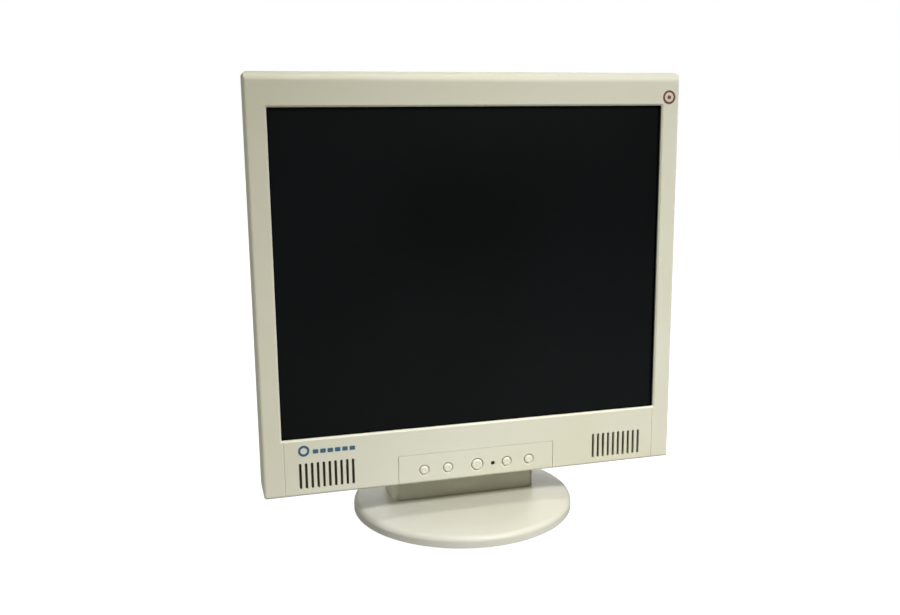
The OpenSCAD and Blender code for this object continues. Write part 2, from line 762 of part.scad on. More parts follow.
// Solid form of the neck, every face moved in by i
module neck_form(i) {
  r = neck_r - i;
  low = foot_h - (i > 0 ? 1 : 0);
  intersection() {
    translate([-neck_w / 2 + i, 0, 0]) rotate([90, 0, 90]) linear_extrude(neck_w - 2 * i) union() {
      translate([axle_y, axle_z]) circle(r);
      polygon([[axle_y - r, low], [neck_back_low - i, low], [neck_back_low - 8 - i, foot_h + 18],
        [axle_y + r, axle_z - 22], [axle_y + r, axle_z], [axle_y - r, axle_z]]);
    }
    translate([0, axle_y - neck_r + i, 0]) linear_extrude(140)
      rounded_rect(neck_w - 2 * i, neck_back_low + 16 - 2 * i, 6);
  }
}

module neck_shell() difference() {
  neck_form(0);
  neck_form(neck_wall);
  rod_x(axle_r + 0.1, -neck_w, neck_w, axle_y, axle_z);
}

module neck_front_cover() color("ivory") intersection() {
  neck_shell();
  translate([-neck_w, axle_y - 40, 0]) cube([2 * neck_w, 40, 200]);
}

module neck_rear_cover() color("ivory") intersection() {
  neck_shell();
  translate([-neck_w, axle_y, 0]) cube([2 * neck_w, 60, 200]);
}

// Folded steel bracket inside the neck
module neck_core() color("silver") difference() {
  union() {
    translate([-58, core_y, core_z]) cube([116, core_t, 2]);
    for (x = [-58, 55]) {
      translate([x, core_y, core_z]) cube([3, core_t, axle_z - core_z]);
      rod_x(core_t / 2, x, x + 3, axle_y, axle_z);
    }
    translate([-58, core_y, core_z]) cube([116, 2, 67]);
  }
  rod_x(axle_r + 0.02, -70, 70, axle_y, axle_z);
  for (x = [-40, 40]) translate([x, 0, 0]) cylinder(r = 2.1, h = 20);
  translate([0, 0, 42]) rotate([90, 0, 0]) cylinder(r = 14, h = 30);
}

// ---------- foot ----------

pad_h = 2;
flat_r = 80;                         // radius of the flat top that the neck stands on

// Half section of the foot, every face moved in by i: a rounded rim, then a slope up to the flat top
module foot_section(i) {
  r = foot_round - i;
  r_out = foot_d / 2 - i;
  rim = rim_h - i;
  top = foot_h - i;
  low = pad_h - (i > 0 ? 1 : 0);
  union() {
    polygon([[0, low], [r_out - r, low], [r_out - r, rim], [flat_r, top], [0, top]]);
    translate([r_out - r - 0.01, low]) square([r + 0.01, rim - r - low]);
    translate([r_out - r, rim - r]) intersection() {
      circle(r);
      square(r);
    }
  }
}

module foot_cover() color("ivory") difference() {
  rotate_extrude($fn = 96) foot_section(0);
  rotate_extrude($fn = 96) foot_section(wall);
  translate([-60, core_y - 1.5, 5]) cube([120, core_t + 3, 20]);
}

module foot_underside() color("ivory") difference() {
  translate([0, 0, pad_h]) cylinder(r = foot_d / 2 - wall - 0.3, h = 2);
  for (x = [-40, 40]) translate([x, 0, 0]) cylinder(r = 4.2, h = 10);
}

module foot_weight() color("dimgray") difference() {
  translate([0, 0, pad_h + 2]) cylinder(r = 88, h = weight_t);
  for (x = [-40, 40]) translate([x, 0, 0]) cylinder(r = 2.1, h = 20);
}

module foot_screws() color("silver") for (x = [-40, 40]) translate([x, 0, 0]) union() {
  translate([0, 0, pad_h + 0.4]) cylinder(r = 4, h = 1.6);
  translate([0, 0, pad_h + 1]) cylinder(r = 2, h = 10);
}

module rubber_pads() color("dimgray") for (k = [0 : 4])
  rotate([0, 0, -90 + 72 * k]) translate([84, 0, 0]) cylinder(r = 8, h = pad_h);

// ---------- nodes ----------

front_bezel();
button_panel();
menu_button();
select_button();
power_button();
down_button();
up_button();
power_led();
button_board();
button_switches();
grille_cloths();
color("dimgray") speaker_frame(-1);  // speaker_frame_left
color("dimgray") speaker_frame(1);  // speaker_frame_right
color("black") speaker_cone(-1);  // speaker_cone_left
color("black") speaker_cone(1);  // speaker_cone_right
speaker_magnets();
lcd_glass();
lcd_front_frame();
optical_sheets();
light_guide();
backlight_lamps();
lamp_reflectors();
lcd_rear_tray();
panel_driver_board();
chassis_plate();
chassis_screws();
main_board();
main_board_parts();
video_connector();
audio_jack();
power_board();
power_board_parts();
mains_inlet();
board_screws();
board_shield();
wall_mount_posts();
rear_cover();
rear_cover_screws();
rating_label();
round_label();
front_badge();
panel_ribbon();
button_ribbon();
speaker_leads();
lamp_leads();
hinge_bracket_left();
hinge_bracket_right();
hinge_bracket_screws();
hinge_axle();
hinge_bushes();
friction_washers();
hinge_nuts();
neck_front_cover();
neck_rear_cover();
neck_core();
foot_cover();
foot_weight();
foot_underside();
foot_screws();
rubber_pads();
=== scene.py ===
"""Looks for a 17 inch flat panel monitor on a round tilting stand, built round its CAD frame.

The CAD bodies are shown with softened edges and node materials. Buttons, lamp, labels, front mark,
cover screws and socket contacts are built here in finer detail and ride on their CAD bodies."""
import json
import math

import bpy
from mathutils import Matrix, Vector


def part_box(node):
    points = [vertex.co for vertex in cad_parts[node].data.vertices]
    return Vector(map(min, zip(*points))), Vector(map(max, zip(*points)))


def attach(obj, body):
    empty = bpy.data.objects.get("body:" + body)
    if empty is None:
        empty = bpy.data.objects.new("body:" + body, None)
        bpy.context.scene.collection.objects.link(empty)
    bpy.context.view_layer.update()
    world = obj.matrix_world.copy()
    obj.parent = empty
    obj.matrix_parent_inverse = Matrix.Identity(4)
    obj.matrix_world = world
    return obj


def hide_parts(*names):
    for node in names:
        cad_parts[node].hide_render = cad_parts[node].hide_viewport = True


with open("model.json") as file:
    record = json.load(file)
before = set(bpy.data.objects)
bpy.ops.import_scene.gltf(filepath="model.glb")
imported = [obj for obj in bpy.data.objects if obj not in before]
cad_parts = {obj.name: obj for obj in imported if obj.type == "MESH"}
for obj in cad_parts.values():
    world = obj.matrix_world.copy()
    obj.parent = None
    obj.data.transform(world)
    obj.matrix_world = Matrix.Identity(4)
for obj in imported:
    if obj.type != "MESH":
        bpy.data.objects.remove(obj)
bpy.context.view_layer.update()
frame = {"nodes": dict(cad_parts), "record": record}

MM = 0.001
NODES = frame["nodes"]


# ---------------------------------------------------------------- camera, light and floor

scene = bpy.context.scene
scene.view_settings.view_transform = "Standard"
scene.view_settings.look = "None"

CAMERA_PLACE = (-0.2318, -0.8107, 0.3510)
CAMERA_TURN = (79.17, 0.605, -15.42)     # degrees
CAMERA_LENS = 37.63                      # mm, on a sensor 36 mm wide
SENSOR_W = 36

HORIZON_LIGHT = 0.11
ZENITH_LIGHT = 0.42
FLOOR_HALF = 6.0
FLOOR_GREY = 0.26
FLOOR_GLOW = 1.0
LIGHT_COLOUR = (1.0, 0.995, 0.98)
WORLD_COLOUR = (1.0, 0.985, 0.94)
# Name, place, aim, size, watts and spread of each softbox.
LIGHTS = (
    ("key", (0.53, -1.30, 1.22), (0.07, -0.27, -0.26), (0.30, 0.24), 4.85, 61),
    ("top", (0.10, -0.26, 1.50), (0.02, 0.04, 0.40), (0.40, 0.30), 0.48, 50),
    ("back", (0.45, 1.80, 0.34), (0.0, 0.0, 0.22), (1.2, 0.5), 3.0, 90),
    ("left", (-1.80, 0.35, 0.34), (0.0, 0.0, 0.22), (1.0, 0.5), 1.8, 90),
)


def add_camera():
    """Stands in front and a little to the left of the screen, looking slightly down."""
    data = bpy.data.cameras.new("camera")
    data.sensor_width = SENSOR_W
    data.lens = CAMERA_LENS
    data.clip_start = 0.01
    data.clip_end = 30
    camera = bpy.data.objects.new("camera", data)
    camera.location = CAMERA_PLACE
    camera.rotation_euler = [math.radians(angle) for angle in CAMERA_TURN]
    scene.collection.objects.link(camera)
    scene.camera = camera


def add_area_light(name, place, target, size, power, spread):
    """A rectangular softbox aimed at a point; spread is the angle of its honeycomb, in degrees."""
    data = bpy.data.lights.new(name, "AREA")
    data.shape = "RECTANGLE"
    data.size, data.size_y = size
    data.energy = power
    data.color = LIGHT_COLOUR
    data.spread = math.radians(spread)
    lamp = bpy.data.objects.new(name, data)
    lamp.location = place
    lamp.rotation_euler = (Vector(target) - Vector(place)).to_track_quat("-Z", "Y").to_euler()
    scene.collection.objects.link(lamp)


def add_world(horizon, zenith):
    """White to look at; as a light, dim at the horizon and brighter overhead."""
    world = bpy.data.worlds.new("studio")
    scene.world = world
    world.use_nodes = True
    tree = world.node_tree
    seen = tree.nodes["Background"]
    seen.inputs["Color"].default_value = (1, 1, 1, 1)
    light = tree.nodes.new("ShaderNodeBackground")
    light.inputs["Color"].default_value = (*WORLD_COLOUR, 1)
    place = tree.nodes.new("ShaderNodeTexCoord")
    split = tree.nodes.new("ShaderNodeSeparateXYZ")
    rise = tree.nodes.new("ShaderNodeMapRange")
    rise.inputs["To Min"].default_value = horizon
    rise.inputs["To Max"].default_value = zenith
    rays = tree.nodes.new("ShaderNodeLightPath")
    choose = tree.nodes.new("ShaderNodeMixShader")
    tree.links.new(place.outputs["Generated"], split.inputs["Vector"])
    tree.links.new(split.outputs["Z"], rise.inputs["Value"])
    tree.links.new(rise.outputs["Result"], light.inputs["Strength"])
    tree.links.new(rays.outputs["Is Camera Ray"], choose.inputs["Fac"])
    tree.links.new(light.outputs["Background"], choose.inputs[1])
    tree.links.new(seen.outputs["Background"], choose.inputs[2])
    tree.links.new(choose.outputs["Shader"], tree.nodes["World Output"].inputs["Surface"])


def add_floor():
    """A pale floor with a little light of its own to look at, so that it stays nearly white."""
    mesh = bpy.data.meshes.new("floor")
    corners = [(-FLOOR_HALF, -FLOOR_HALF, 0), (FLOOR_HALF, -FLOOR_HALF, 0),
               (FLOOR_HALF, FLOOR_HALF, 0), (-FLOOR_HALF, FLOOR_HALF, 0)]
    mesh.from_pydata(corners, [], [(0, 1, 2, 3)])
    floor = bpy.data.objects.new("floor", mesh)
    scene.collection.objects.link(floor)
    paint = bpy.data.materials.new("floor")
    paint.use_nodes = True
    shader = paint.node_tree.nodes["Principled BSDF"]
    shader.inputs["Base Color"].default_value = (FLOOR_GREY, FLOOR_GREY, FLOOR_GREY, 1)
    shader.inputs["Roughness"].default_value = 0.9
    shader.inputs["Specular IOR Level"].default_value = 0.1
    shader.inputs["Emission Color"].default_value = (1, 1, 1, 1)
    rays = paint.node_tree.nodes.new("ShaderNodeLightPath")
    glow = paint.node_tree.nodes.new("ShaderNodeMath")
    glow.operation = "MULTIPLY"
    glow.inputs[1].default_value = FLOOR_GLOW
    paint.node_tree.links.new(rays.outputs["Is Camera Ray"], glow.inputs[0])
    paint.node_tree.links.new(glow.outputs["Value"], shader.inputs["Emission Strength"])
    mesh.materials.append(paint)


add_camera()
add_world(HORIZON_LIGHT, ZENITH_LIGHT)
add_floor()
for light in LIGHTS:
    add_area_light(*light)


# ---------------------------------------------------------------- materials

# Where the colour sockets are on a Mix node, which has one set of sockets for each kind of data.
MIX_FACTOR, MIX_A, MIX_B = 0, 6, 7
MIX_RESULT = 2


class Graph:
    """A short way to write a node material."""

    def __init__(self, name):
        self.material = bpy.data.materials.new(name)
        self.material.use_nodes = True
        self.tree = self.material.node_tree
        self.shader = self.tree.nodes["Principled BSDF"]
        self.place = self.add("ShaderNodeTexCoord").outputs["Object"]

    def add(self, kind, **settings):
        """A new node, with these settings."""
        node = self.tree.nodes.new(kind)
        for key, value in settings.items():
            setattr(node, key, value)
        return node

    def link(self, source, target):
        self.tree.links.new(source, target)

    def put(self, **values):
        """Values set on the shader's own sockets; an underscore stands for a space in their names."""
        for key, value in values.items():
            self.shader.inputs[key.replace("_", " ")].default_value = value

    def noise(self, scale, detail):
        """Smooth random pattern over the object: larger scales are finer."""
        node = self.add("ShaderNodeTexNoise")
        node.inputs["Scale"].default_value = scale
        node.inputs["Detail"].default_value = detail
        self.link(self.place, node.inputs["Vector"])
        return node.outputs["Fac"]

    def along(self, axis):
        """The object's own x, y or z, in metres."""
        split = self.add("ShaderNodeSeparateXYZ")
        self.link(self.place, split.inputs["Vector"])
        return split.outputs[axis.upper()]

    def maths(self, operation, *values):
        """The result of one sum; each value may be a socket or a number."""
        node = self.add("ShaderNodeMath", operation=operation)
        for value, socket in zip(values, node.inputs):
            if isinstance(value, bpy.types.NodeSocket):
                self.link(value, socket)
            else:
                socket.default_value = value
        return node.outputs["Value"]

    def span(self, source, low, high, start=0.0, end=1.0):
        """Source from start to end turned into low to high, and held there outside."""
        node = self.add("ShaderNodeMapRange")
        node.inputs["From Min"].default_value = start
        node.inputs["From Max"].default_value = end
        node.inputs["To Min"].default_value = low
        node.inputs["To Max"].default_value = high
        self.link(source, node.inputs["Value"])
        return node.outputs["Result"]

    def mix(self, share, first, second):
        """First and second colour blended; any of the three may be a socket or a plain value."""
        node = self.add("ShaderNodeMix", data_type="RGBA")
        for value, index in ((share, MIX_FACTOR), (first, MIX_A), (second, MIX_B)):
            socket = node.inputs[index]
            if isinstance(value, bpy.types.NodeSocket):
                self.link(value, socket)
            elif isinstance(value, (int, float)):
                socket.default_value = value
            else:
                socket.default_value = (*value, 1)
        return node.outputs[MIX_RESULT]

    def bump(self, source, strength, distance):
        """Fine relief, added to the relief that is there already."""
        node = self.add("ShaderNodeBump")
        node.inputs["Strength"].default_value = strength
        node.inputs["Distance"].default_value = distance
        self.link(source, node.inputs["Height"])
        previous = self.shader.inputs["Normal"].links
        if previous:
            self.link(previous[0].from_socket, node.inputs["Normal"])
        self.link(node.outputs["Normal"], self.shader.inputs["Normal"])

    def colour(self, source):
        self.link(source, self.shader.inputs["Base Color"])

    def roughness(self, source):
        self.link(source, self.shader.inputs["Roughness"])


def scaled(colour, factor):
    """A colour made darker or lighter, and held below white."""
    return tuple(min(1.0, c * factor) for c in colour)


PAINTED_SHADE_TINT = (0.30, 0.27, 0.22)       # share of each colour left where the painted shade is darkest
AGE_SHARE = (0.4, 1.0, 2.4)          # how much of its age each colour of the plastic loses


def plastic(name, base, rough=0.46, grain=0.25, age=0.05, painted_shade=None):
    """Moulded plastic: fine spark texture, faint mottling and a slight yellowing in patches.

    The last argument is (z, z, share): painted shade that is darkest at the first height and fades out
    at the second."""
    g = Graph(name)
    old = tuple(c * (1 - age * share) for c, share in zip(base, AGE_SHARE))
    patches = g.span(g.noise(scale=9, detail=2), 0, 1, start=0.35, end=0.7)
    flecks = g.span(g.noise(scale=700, detail=2), 0, 1, start=0.3, end=0.7)
    body = g.mix(g.span(flecks, 0.0, 0.12), g.mix(patches, base, old), scaled(base, 0.86))
    if painted_shade:
        bottom, top, share = painted_shade
        # Painted shade: the colour is darkened towards the bottom and mottled by noise.
        shade_fade = g.span(g.along("z"), share, 0.0, start=bottom, end=top)
        shade_mottle = g.span(g.noise(scale=60, detail=4), 0.8, 1.0, start=0.35, end=0.65)
        body = g.mix(g.maths("MULTIPLY", shade_fade, shade_mottle), body,
                     tuple(c * tint for c, tint in zip(base, PAINTED_SHADE_TINT)))
    g.colour(body)
    g.roughness(g.span(g.noise(scale=260, detail=3), rough - 0.07, rough + 0.09))
    g.bump(g.noise(scale=2600, detail=2), strength=grain, distance=0.00006)
    g.bump(g.noise(scale=40, detail=2), strength=0.08, distance=0.0004)
    g.put(Specular_IOR_Level=0.45)
    return g.material


def metal(name, base, rough=0.35, spangle=0.0):
    """Rolled or plated steel or brass: fine mottling, and crystals where it is galvanised."""
    g = Graph(name)
    mottling = g.noise(scale=900, detail=3)
    g.colour(g.mix(g.span(mottling, 0, 1), scaled(base, 0.82), scaled(base, 1.1)))
    g.roughness(g.span(mottling, rough - 0.08, rough + 0.14))
    g.bump(mottling, strength=0.2, distance=0.00004)
    if spangle:
        cells = g.add("ShaderNodeTexVoronoi")
        cells.inputs["Scale"].default_value = 160
        g.link(g.place, cells.inputs["Vector"])
        g.bump(cells.outputs["Distance"], strength=spangle, distance=0.0001)
    g.put(Metallic=1.0)
    return g.material


# The picture area of a 17 inch 5:4 panel.
ACTIVE_W = 337.9 * MM
ACTIVE_H = 270.3 * MM
BORDER_BLACK = (0.0004, 0.0004, 0.0004)
FILM_DARK = (0.0006, 0.0009, 0.0012)
FILM_PALE = (0.0026, 0.0036, 0.0042)


def screen_surface():
    """Matt film over a dark panel, and round its picture area the blacker border of the glass."""
    low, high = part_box("lcd_glass")
    middle_z = (low[2] + high[2]) / 2
    g = Graph("screen")
    tint = g.span(g.noise(scale=5, detail=1), 0, 1, start=0.3, end=0.7)
    offset_x = g.maths("ABSOLUTE", g.along("x"))
    offset_z = g.maths("ABSOLUTE", g.maths("SUBTRACT", g.along("z"), middle_z))
    border = g.maths("MAXIMUM", g.maths("GREATER_THAN", offset_x, ACTIVE_W / 2),
                     g.maths("GREATER_THAN", offset_z, ACTIVE_H / 2))
    g.colour(g.mix(border, g.mix(tint, FILM_DARK, FILM_PALE), BORDER_BLACK))
    g.roughness(g.span(g.noise(scale=1400, detail=2), 0.28, 0.38))
    g.bump(g.noise(scale=5200, detail=2), strength=0.22, distance=0.00002)
    g.put(IOR=1.5, Specular_IOR_Level=0.2)
    return g.material


def rubber(name, base, rough=0.7):
    """Rubber, cable sleeve or cone paper: matt, with lighter dust in places."""
    g = Graph(name)
    dust = g.span(g.noise(scale=120, detail=4), 0, 1, start=0.45, end=0.75)
    g.colour(g.mix(dust, base, scaled(base, 2.2)))
    g.roughness(g.span(g.noise(scale=300, detail=2), rough - 0.08, rough + 0.1))
    g.bump(g.noise(scale=900, detail=3), strength=0.4, distance=0.0001)
    return g.material


def cloth(name, base):
    """Woven grille cloth: two crossing sets of threads."""
    g = Graph(name)
    weave = []
    for direction in ("X", "Z"):
        wave = g.add("ShaderNodeTexWave", wave_type="BANDS", bands_direction=direction)
        wave.inputs["Scale"].default_value = 420
        g.link(g.place, wave.inputs["Vector"])
        weave.append(wave.outputs["Fac"])
    both = g.mix(0.5, weave[0], weave[1])
    g.colour(g.mix(both, scaled(base, 0.5), scaled(base, 1.8)))
    g.bump(both, strength=0.7, distance=0.0002)
    g.put(Roughness=0.95)
    return g.material


def printed(name, base, rough=0.4, uneven=0.18):
    """Ink or paper: slightly uneven in tone, with a soft sheen."""
    g = Graph(name)
    ink = g.span(g.noise(scale=420, detail=4), 0, 1, start=0.35, end=0.75)
    g.colour(g.mix(ink, base, scaled(base, 1 - uneven)))
    g.roughness(g.span(g.noise(scale=800, detail=2), rough - 0.06, rough + 0.08))
    g.bump(g.noise(scale=1800, detail=2), strength=0.12, distance=0.00003)
    return g.material


def board_surface(name, base):
    """Circuit board: lacquer over a net of copper tracks."""
    g = Graph(name)
    tracks = g.add("ShaderNodeTexBrick")
    tracks.inputs["Scale"].default_value = 120
    tracks.inputs["Mortar Size"].default_value = 0.04
    g.link(g.place, tracks.inputs["Vector"])
    g.colour(g.mix(g.span(tracks.outputs["Fac"], 0, 0.5), base, scaled(base, 1.7)))
    g.bump(tracks.outputs["Fac"], strength=0.3, distance=0.0001)
    g.roughness(g.span(g.noise(scale=300, detail=2), 0.3, 0.45))
    return g.material


IVORY = (0.70, 0.698, 0.578)
MATERIALS = {
    "ivory_plastic": plastic("ivory_plastic", IVORY),
    "cap_plastic": plastic("cap_plastic", (0.755, 0.74, 0.635), rough=0.28, grain=0.08),
    "smoke_lens": plastic("smoke_lens", (0.008, 0.008, 0.008), rough=0.15, grain=0.02, age=0.0),
    "screen": screen_surface(),
    "clear_acrylic": plastic("clear_acrylic", (0.86, 0.9, 0.92), rough=0.15, grain=0.02),
    "white_film": plastic("white_film", (0.9, 0.9, 0.9), rough=0.6, grain=0.05),
    "lamp_glass": plastic("lamp_glass", (0.92, 0.92, 0.88), rough=0.1, grain=0.0),
    "zinc_steel": metal("zinc_steel", (0.56, 0.57, 0.57), rough=0.38, spangle=0.25),
    "screw_steel": metal("screw_steel", (0.50, 0.50, 0.49), rough=0.3),
    "weight_steel": metal("weight_steel", (0.16, 0.16, 0.16), rough=0.5),
    "green_board": board_surface("green_board", (0.02, 0.11, 0.04)),
    "brown_board": board_surface("brown_board", (0.30, 0.17, 0.06)),
    "black_plastic": plastic("black_plastic", (0.02, 0.02, 0.02), rough=0.45, age=0.0),
    "blue_plastic": plastic("blue_plastic", (0.02, 0.06, 0.32), rough=0.35, age=0.0),
    "green_plastic": plastic("green_plastic", (0.14, 0.42, 0.12), rough=0.35, age=0.0),
    "black_cloth": cloth("black_cloth", (0.045, 0.037, 0.021)),
    "cone_paper": rubber("cone_paper", (0.03, 0.03, 0.03), 0.85),
    "magnet": metal("magnet", (0.2, 0.2, 0.21), rough=0.45),
    "label_paper": printed("label_paper", (0.60, 0.60, 0.57), uneven=0.06),
    "sticker": printed("sticker", (0.155, 0.062, 0.034)),
    "blue_print": printed("blue_print", (0.048, 0.135, 0.215)),
    "grey_ribbon": plastic("grey_ribbon", (0.4, 0.4, 0.4), rough=0.5, age=0.0),
    "red_wire": rubber("red_wire", (0.35, 0.02, 0.02), 0.5),
    "pink_wire": rubber("pink_wire", (0.65, 0.25, 0.3), 0.5),
    "brass": metal("brass", (0.62, 0.42, 0.16), rough=0.35),
    "black_rubber": rubber("black_rubber", (0.025, 0.025, 0.025)),
    "black_acetal": plastic("black_acetal", (0.05, 0.05, 0.05), rough=0.35, age=0.0),
}

ROUND_PAPER = printed("round_label_paper", (0.78, 0.66, 0.56))

for part in frame["record"]["subparts"]:
    mesh = NODES[part["node"]].data
    mesh.materials.clear()
    mesh.materials.append(MATERIALS[part["material_slot"]])

# The neck has painted shade low down, darkest in the corner between it and the foot.
NECK_PLASTIC = plastic("ivory_plastic_neck", IVORY, painted_shade=(0.014, 0.070, 0.3))
# The foot has yellowed less than the head.
FOOT_PLASTIC = plastic("ivory_plastic_foot", (0.605, 0.607, 0.538))
for node, material in (
    ("neck_front_cover", NECK_PLASTIC), ("neck_rear_cover", NECK_PLASTIC), ("foot_cover", FOOT_PLASTIC),
):
    NODES[node].data.materials[0] = material


# ---------------------------------------------------------------- softened edges on CAD pieces

WELD_GAP = 0.000002                  # m: points nearer than this become one
FLAT_ANGLE = 0.2                     # degrees: faces nearer to level than this are joined
SOFT_SEGMENTS = 2


def soften(node, width, angle=32):
    """Rounds the sharp edges of a CAD piece a little, as a mould does.

    The width is in metres. Edges that turn by less than the angle, in degrees, stay as they are."""
    piece = NODES[node]
    weld = piece.modifiers.new("weld", "WELD")
    weld.merge_threshold = WELD_GAP
    flat = piece.modifiers.new("flat", "DECIMATE")
    flat.decimate_type = "DISSOLVE"
    flat.angle_limit = math.radians(FLAT_ANGLE)
    bevel = piece.modifiers.new("bevel", "BEVEL")
    bevel.width = width
    bevel.segments = SOFT_SEGMENTS
    bevel.limit_method = "ANGLE"
    bevel.angle_limit = math.radians(angle)
    bevel.use_clamp_overlap = False
    bevel.loop_slide = False
    normals = piece.modifiers.new("normals", "WEIGHTED_NORMAL")
    normals.mode = "FACE_AREA_WITH_ANGLE"
    for polygon in piece.data.polygons:
        polygon.use_smooth = True


# Widths in mm. The foot's own rounded rim is left alone: only its square edges are softened.
for node, width in (
    ("front_bezel", 0.15), ("button_panel", 0.20), ("rear_cover", 0.35), ("neck_front_cover", 0.3),
    ("neck_rear_cover", 0.4), ("foot_underside", 0.3), ("rubber_pads", 0.4),
    ("video_connector", 0.15), ("mains_inlet", 0.25), ("audio_jack", 0.15),
):
    soften(node, width * MM)
soften("foot_cover", 0.3 * MM, angle=60)


# ---------------------------------------------------------------- pieces made here

BACKWARD = Vector((0, 1, 0))         # into the head from its face
FORWARD = Vector((0, -1, 0))
DOWN = Vector((0, 0, -1))


class Shape:
    """Collects the points and faces of one piece, in millimetres from a centre given in metres."""

    def __init__(self):
        self.points = []
        self.faces = []

    def ring(self, centre, u, v, radius, sides):
        """Points round a centre, or one point if the radius is nought; gives their numbers."""
        start = len(self.points)
        if radius == 0:
            self.points.append(centre)
            return [start] * sides
        for k in range(sides):
            a = 2 * math.pi * k / sides
            self.points.append(centre + radius * MM * (math.cos(a) * u + math.sin(a) * v))
        return list(range(start, start + sides))

    def turned(self, profile, centre, along, sides=56):
        """Revolves (radius, distance) pairs about the line through centre.

        Both ends are closed, unless the pairs come back to where they start, as for a ring."""
        u = along.orthogonal().normalized() if abs(along.y) < 0.9 else Vector((1, 0, 0))
        v = along.cross(u)
        rings = [self.ring(Vector(centre) + along * (d * MM), u, v, r, sides) for r, d in profile]
        for first, second in zip(rings, rings[1:]):
            for k in range(sides):
                after = (k + 1) % sides
                face = tuple(dict.fromkeys((first[k], first[after], second[after], second[k])))
                if len(face) > 2:
                    self.faces.append(face)
        if profile[0] == profile[-1]:
            return
        for end, reverse in ((rings[0], True), (rings[-1], False)):
            if len(set(end)) > 1:
                self.faces.append(tuple(reversed(end)) if reverse else tuple(end))

    def loft(self, outlines):
        """Joins closed outlines of equal length, and closes both ends."""
        rings = []
        for outline in outlines:
            start = len(self.points)
            self.points.extend(outline)
            rings.append(list(range(start, start + len(outline))))
        count = len(outlines[0])
        for first, second in zip(rings, rings[1:]):
            for k in range(count):
                after = (k + 1) % count
                self.faces.append((first[k], first[after], second[after], second[k]))
        self.faces.append(tuple(reversed(rings[0])))
        self.faces.append(tuple(rings[-1]))

    def piece(self, name, body, slot, replaces=(), crease=35, material=None):
        """Turns what was collected into a visible piece; edges sharper than crease stay sharp."""
        mesh = bpy.data.meshes.new(name)
        mesh.from_pydata(self.points, [], self.faces)
        mesh.validate()
        for polygon in mesh.polygons:
            polygon.use_smooth = True
        mesh.set_sharp_from_angle(angle=math.radians(crease))
        mesh.materials.append(material or MATERIALS[slot])
        made = bpy.data.objects.new(name, mesh)
        scene.collection.objects.link(made)
        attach(made, body)
        if replaces:
            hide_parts(*replaces)


def front_middle(node):
    """The middle of a CAD piece's front end, and its size."""
    low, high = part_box(node)
    low, high = Vector(low), Vector(high)
    middle = (low + high) / 2
    return Vector((middle.x, low.y, middle.z)), high - low


# Push buttons: a dimpled cap, a retaining flange behind the panel, and a stem. The outlines are
# pairs of radius and depth below the front of the cap; in CAP_EDGE the radius is a share of the whole.
FLANGE_RIM = 1.2
FLANGE = (3.2, 4.2)                  # mm behind the front of the cap
STEM_R = 1.5
CAP_EDGE = ((0.62, 0.04), (0.76, 0.16), (0.87, 0.36), (0.95, 0.68), (0.99, 1.05), (1.0, 1.45))
EDGE_MARGIN = 0.1                    # mm from the outside of the top to where the edge may start
DIMPLE = ((0.0, 0.34), (0.40, 0.32), (0.70, 0.24), (0.88, 0.10), (1.02, 0.02), (1.25, 0.0))
POWER_RING = ((0.0, 0.02), (1.55, 0.0), (1.75, 0.05), (1.9, 0.25), (2.25, 0.25), (2.4, 0.05),
              (2.6, 0.0))


def add_button(node, top):
    """A cap turned from its top outwards, then down its side to the flange and the stem."""
    front, size = front_middle(node)
    r = size.x / MM / 2 - FLANGE_RIM
    profile = list(top)
    profile += [(r * share, d) for share, d in CAP_EDGE if r * share > top[-1][0] + EDGE_MARGIN]
    profile += [(r, FLANGE[0]), (r + FLANGE_RIM, FLANGE[0]), (r + FLANGE_RIM, FLANGE[1])]
    profile += [(STEM_R, FLANGE[1]), (STEM_R, size.y / MM)]
    cap = Shape()
    cap.turned(profile, front, BACKWARD, sides=72)
    cap.piece(node + "_cap", node, "cap_plastic", replaces=[node], crease=50)


for node in ("menu_button", "select_button", "down_button", "up_button"):
    add_button(node, DIMPLE)
add_button("power_button", POWER_RING)


# Power lamp: a small domed window over its light pipe.
LED_DOME = ((0.0, 0.0), (0.7, 0.04), (1.2, 0.16), (1.5, 0.36), (1.68, 0.7))
LED_R = 1.7
LED_SIDE = 1.0
LED_FOOT_R = 2.5
LED_STEP = 2.7


def add_power_lamp():
    front, size = front_middle("power_led")
    profile = list(LED_DOME) + [(LED_R, LED_SIDE), (LED_R, LED_STEP)]
    profile += [(LED_FOOT_R, LED_STEP), (LED_FOOT_R, size.y / MM)]
    lamp = Shape()
    lamp.turned(profile, front, BACKWARD, sides=40)
    lamp.piece("power_lamp_window", "head", "smoke_lens", replaces=["power_led"])


add_power_lamp()


# Round label at the top right: a pale disc with a brown rim and a plain dot.
LABEL_RIM = (5.9, 4.1)
LABEL_DOT_R = 1.7
PAPER_T = 0.12
PAPER_EDGE = (0.05, 0.03)            # in from its rim, and down from its face
INK_T = 0.05


def ring_profile(outer, inner, thick):
    """The outline of a flat ring for Shape.turned, back to where it starts."""
    return [(inner, 0), (inner, thick), (outer, thick), (outer, 0), (inner, 0)]


def add_round_label():
    front, size = front_middle("round_label")
    face = front + BACKWARD * size.y
    outer, inner = LABEL_RIM
    step, drop = PAPER_EDGE
    disc = Shape()
    paper = [(0, PAPER_T), (outer - step, PAPER_T), (outer, PAPER_T - drop), (outer, 0)]
    disc.turned(paper, face, FORWARD, sides=72)
    disc.piece("round_label_paper", "head", "label_paper", replaces=["round_label"],
               material=ROUND_PAPER)
    face += FORWARD * PAPER_T * MM
    ink = Shape()
    ink.turned(ring_profile(outer, inner, INK_T), face, FORWARD, sides=72)
    ink.turned([(0, INK_T), (LABEL_DOT_R, INK_T), (LABEL_DOT_R, 0)], face, FORWARD, sides=40)
    ink.piece("round_label_ink", "head", "sticker")


add_round_label()


